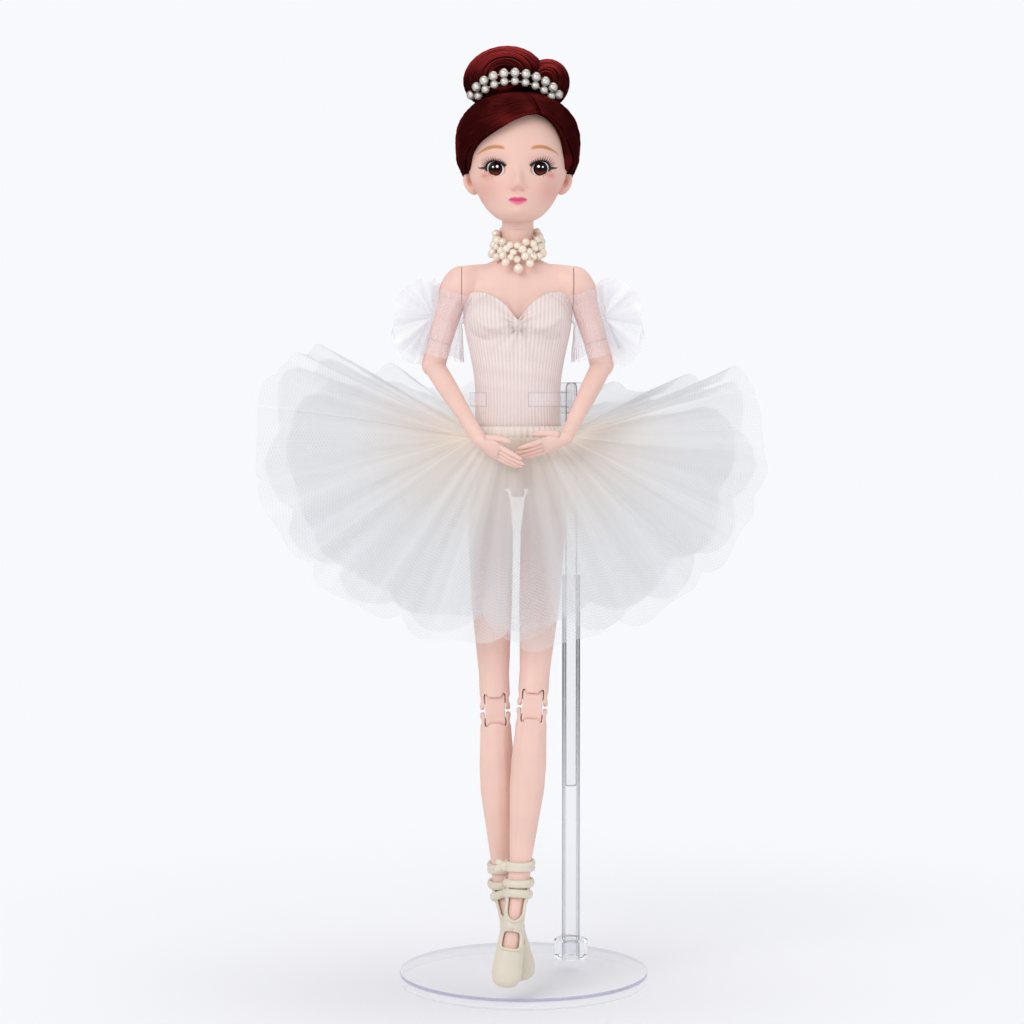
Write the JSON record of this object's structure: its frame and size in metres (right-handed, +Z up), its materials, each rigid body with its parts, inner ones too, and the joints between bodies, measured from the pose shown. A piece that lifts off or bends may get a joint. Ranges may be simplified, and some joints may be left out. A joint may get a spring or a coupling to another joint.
{
  "type": "doll",
  "caption": "Jointed ballerina doll with bun hair, pearl jewellery, ribbed bodice, tulle tutu and pointe shoes, held by its waist on a clear telescopic stand.",
  "frame": {"origin": "centre of the stand disc's underside", "axes": "+Z up along the stand rod, the doll faces -Y, +X is the doll's left"},
  "size_m": [0.1768, 0.1287, 0.3116],
  "materials": {
    "clear_acrylic": "polished clear",
    "hair": "dark auburn fibre, satin",
    "pearl": "pearlescent",
    "rib_knit": "fine rib knit",
    "tulle": "sheer net",
    "shoe_vinyl": "soft satin",
    "lash_fibre": "matt",
    "eye_acrylic": "glossy",
    "face_vinyl": "soft matt vinyl",
    "skin_plastic": "soft satin plastic"
  },
  "bodies": {
    "stand": {"stand_base": "clear_acrylic", "stand_socket": "clear_acrylic", "stand_tube": "clear_acrylic"},
    "rod": {"stand_rod": "clear_acrylic"},
    "hips": {"waist_clip": "clear_acrylic", "pelvis": "skin_plastic", "skirt_waistband": "tulle", "tutu_front_right": "tulle", "tutu_front_left": "tulle", "tutu_back": "tulle", "tutu_lining_front_right": "tulle", "tutu_lining_front_left": "tulle", "tutu_lining_back": "tulle"},
    "chest": {"chest": "skin_plastic", "pearl_choker": "pearl", "bodice": "rib_knit"},
    "left_shoulder": {"left_shoulder_cap": "skin_plastic"},
    "left_upper_arm": {"left_upper_arm": "skin_plastic", "left_sleeve": "tulle"},
    "left_elbow": {"left_elbow": "skin_plastic"},
    "left_forearm": {"left_forearm": "skin_plastic"},
    "left_wrist": {"left_wrist": "skin_plastic"},
    "left_hand": {"left_hand": "skin_plastic"},
    "right_shoulder": {"right_shoulder_cap": "skin_plastic"},
    "right_upper_arm": {"right_upper_arm": "skin_plastic", "right_sleeve": "tulle"},
    "right_elbow": {"right_elbow": "skin_plastic"},
    "right_forearm": {"right_forearm": "skin_plastic"},
    "right_wrist": {"right_wrist": "skin_plastic"},
    "right_hand": {"right_hand": "skin_plastic"},
    "neck_pivot": {"neck_knob": "skin_plastic"},
    "head": {"head": "face_vinyl", "left_eye": "eye_acrylic", "right_eye": "eye_acrylic", "left_eyelashes": "lash_fibre", "right_eyelashes": "lash_fibre", "hair_cap": "hair", "hair_bun": "hair", "bead_headband": "pearl"},
    "left_hip": {"left_hip": "skin_plastic"},
    "left_thigh": {"left_thigh": "skin_plastic"},
    "left_knee": {"left_knee_link": "skin_plastic"},
    "left_shin": {"left_shin": "skin_plastic"},
    "left_foot": {"left_foot": "skin_plastic", "left_shoe": "shoe_vinyl"},
    "right_hip": {"right_hip": "skin_plastic"},
    "right_thigh": {"right_thigh": "skin_plastic"},
    "right_knee": {"right_knee_link": "skin_plastic"},
    "right_shin": {"right_shin": "skin_plastic"},
    "right_foot": {"right_foot": "skin_plastic", "right_shoe": "shoe_vinyl"}
  },
  "joints": [
    {"name": "rod_slide", "type": "slide", "parent": "stand", "child": "rod", "axis": [0, 0, 1], "range_m": [0, 0.04]},
    {"name": "clip_swivel", "type": "hinge", "parent": "rod", "child": "hips", "pos_m": [0.0162, 0.0173, 0], "axis": [0, 0, 1], "range_deg": [-8, 8]},
    {"name": "waist_turn", "type": "hinge", "parent": "hips", "child": "chest", "pos_m": [-0.002, 0.0073, 0], "axis": [0, 0, 1], "range_deg": [-12, 12], "deforming": ["bodice"]},
    {"name": "head_turn", "type": "hinge", "parent": "chest", "child": "neck_pivot", "pos_m": [-0.002, 0.0079, 0.254], "axis": [0, 0, 1], "range_deg": [-40, 40]},
    {"name": "head_nod", "type": "hinge", "parent": "neck_pivot", "child": "head", "pos_m": [-0.002, 0.0079, 0.256], "axis": [1, 0, 0], "range_deg": [-6, 6]},
    {"name": "left_shoulder_swing", "type": "hinge", "parent": "chest", "child": "left_shoulder", "pos_m": [0.0188, 0.0073, 0.232], "axis": [-1, 0, 0], "range_deg": [0, 70]},
    {"name": "left_shoulder_raise", "type": "hinge", "parent": "left_shoulder", "child": "left_upper_arm", "pos_m": [0.0188, 0.0073, 0.232], "axis": [0, -0.9934, -0.1149], "range_deg": [0, 40]},
    {"name": "left_elbow_turn", "type": "hinge", "parent": "left_upper_arm", "child": "left_elbow", "pos_m": [0.0188, 0.0073, 0.232], "axis": [-0.2773, -0.1104, 0.9544], "range_deg": [0, 60]},
    {"name": "left_elbow_bend", "type": "hinge", "parent": "left_elbow", "child": "left_forearm", "pos_m": [0.02629, 0.01028, 0.20623], "axis": [0.7703, -0.6192, 0.1522], "range_deg": [0, 15]},
    {"name": "left_wrist_turn", "type": "hinge", "parent": "left_forearm", "child": "left_wrist", "pos_m": [0.01389, -0.011, 0.18236], "axis": [0.3614, 0.6206, 0.6959], "range_deg": [-30, 30]},
    {"name": "left_wrist_bend", "type": "hinge", "parent": "left_wrist", "child": "left_hand", "pos_m": [0.01389, -0.011, 0.18236], "axis": [0.2679, 0.6458, -0.715], "range_deg": [0, 20]},
    {"name": "left_hip_swing", "type": "hinge", "parent": "hips", "child": "left_hip", "pos_m": [0.0073, 0.0073, 0.167], "axis": [-1, 0, 0], "range_deg": [0, 35], "deforming": ["tutu_front_left", "tutu_lining_front_left"]},
    {"name": "left_hip_spread", "type": "hinge", "parent": "left_hip", "child": "left_thigh", "pos_m": [0.0073, 0.0073, 0.167], "axis": [0, -0.9339, 0.3576], "range_deg": [0, 20]},
    {"name": "left_knee_upper", "type": "hinge", "parent": "left_thigh", "child": "left_knee", "pos_m": [0.00223, -0.0191, 0.09805], "axis": [-0.9976, 0.0245, 0.064], "range_deg": [0, 9]},
    {"name": "left_knee_lower", "type": "hinge", "parent": "left_knee", "child": "left_shin", "pos_m": [0.00175, -0.02053, 0.09122], "axis": [-0.9976, 0.0245, 0.064], "range_deg": [0, 9]},
    {"name": "left_ankle", "type": "hinge", "parent": "left_shin", "child": "left_foot", "pos_m": [-0.0018, -0.0232, 0.0369], "axis": [-0.9908, 0.0278, 0.1325], "range_deg": [0, 15]},
    {"name": "right_shoulder_swing", "type": "hinge", "parent": "chest", "child": "right_shoulder", "pos_m": [-0.0228, 0.0073, 0.232], "axis": [-1, 0, 0], "range_deg": [0, 70]},
    {"name": "right_shoulder_raise", "type": "hinge", "parent": "right_shoulder", "child": "right_upper_arm", "pos_m": [-0.0228, 0.0073, 0.232], "axis": [0, 0.9934, 0.1149], "range_deg": [0, 40]},
    {"name": "right_elbow_turn", "type": "hinge", "parent": "right_upper_arm", "child": "right_elbow", "pos_m": [-0.0228, 0.0073, 0.232], "axis": [-0.2773, 0.1104, -0.9544], "range_deg": [0, 60]},
    {"name": "right_elbow_bend", "type": "hinge", "parent": "right_elbow", "child": "right_forearm", "pos_m": [-0.03029, 0.01028, 0.20623], "axis": [-0.724, -0.677, 0.132], "range_deg": [0, 15]},
    {"name": "right_wrist_turn", "type": "hinge", "parent": "right_forearm", "child": "right_wrist", "pos_m": [-0.01456, -0.01132, 0.18166], "axis": [0.4331, -0.5952, -0.6769], "range_deg": [-30, 30]},
    {"name": "right_wrist_bend", "type": "hinge", "parent": "right_wrist", "child": "right_hand", "pos_m": [-0.01456, -0.01132, 0.18166], "axis": [-0.2144, 0.6614, -0.7187], "range_deg": [0, 20]},
    {"name": "right_hip_swing", "type": "hinge", "parent": "hips", "child": "right_hip", "pos_m": [-0.0113, 0.0073, 0.167], "axis": [1, 0, 0], "range_deg": [0, 0.9]},
    {"name": "right_hip_spread", "type": "hinge", "parent": "right_hip", "child": "right_thigh", "pos_m": [-0.0113, 0.0073, 0.167], "axis": [0, 0.9576, -0.288], "range_deg": [0, 20], "deforming": ["tutu_front_right", "tutu_lining_front_right"]},
    {"name": "right_knee_upper", "type": "hinge", "parent": "right_thigh", "child": "right_knee", "pos_m": [-0.00885, -0.014, 0.09617], "axis": [0.9995, 0.0096, 0.0318], "range_deg": [0, 30]},
    {"name": "right_knee_lower", "type": "hinge", "parent": "right_knee", "child": "right_shin", "pos_m": [-0.00862, -0.0149, 0.08924], "axis": [0.9995, 0.0096, 0.0318], "range_deg": [0, 30]},
    {"name": "right_ankle", "type": "hinge", "parent": "right_shin", "child": "right_foot", "pos_m": [-0.00691, -0.01293, 0.0348], "axis": [0.2123, -0.2751, -0.9377], "range_deg": [0, 15]}
  ]
}
